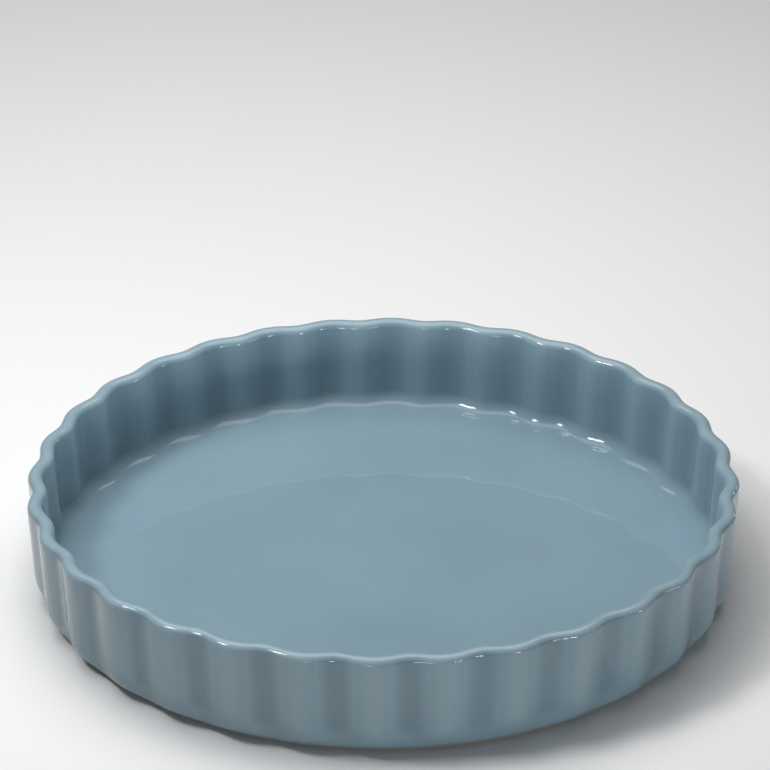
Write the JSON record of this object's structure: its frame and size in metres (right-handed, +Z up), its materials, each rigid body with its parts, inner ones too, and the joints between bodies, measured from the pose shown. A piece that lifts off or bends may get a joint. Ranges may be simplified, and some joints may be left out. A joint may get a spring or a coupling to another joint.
{
  "type": "fluted quiche dish",
  "caption": "Round shallow baking dish with a fluted, nearly upright wall, rounded rim, flat floor and bare foot ring, glazed inside and out.",
  "frame": {"origin": "middle of the foot ring's resting face, on the dish's axis", "axes": "+Z up out of the dish along its axis; +X through the crest of a flute"},
  "size_m": [0.28, 0.28, 0.044],
  "materials": {
    "fired_stoneware": "bare fired clay, matt and slightly rough, warm buff",
    "blue_grey_glaze": "smooth high-gloss opaque glaze, muted blue-grey"
  },
  "bodies": {
    "root": {"stoneware_body": "fired_stoneware", "glaze_coat": "blue_grey_glaze", "base_glaze": "blue_grey_glaze"}
  },
  "joints": []
}
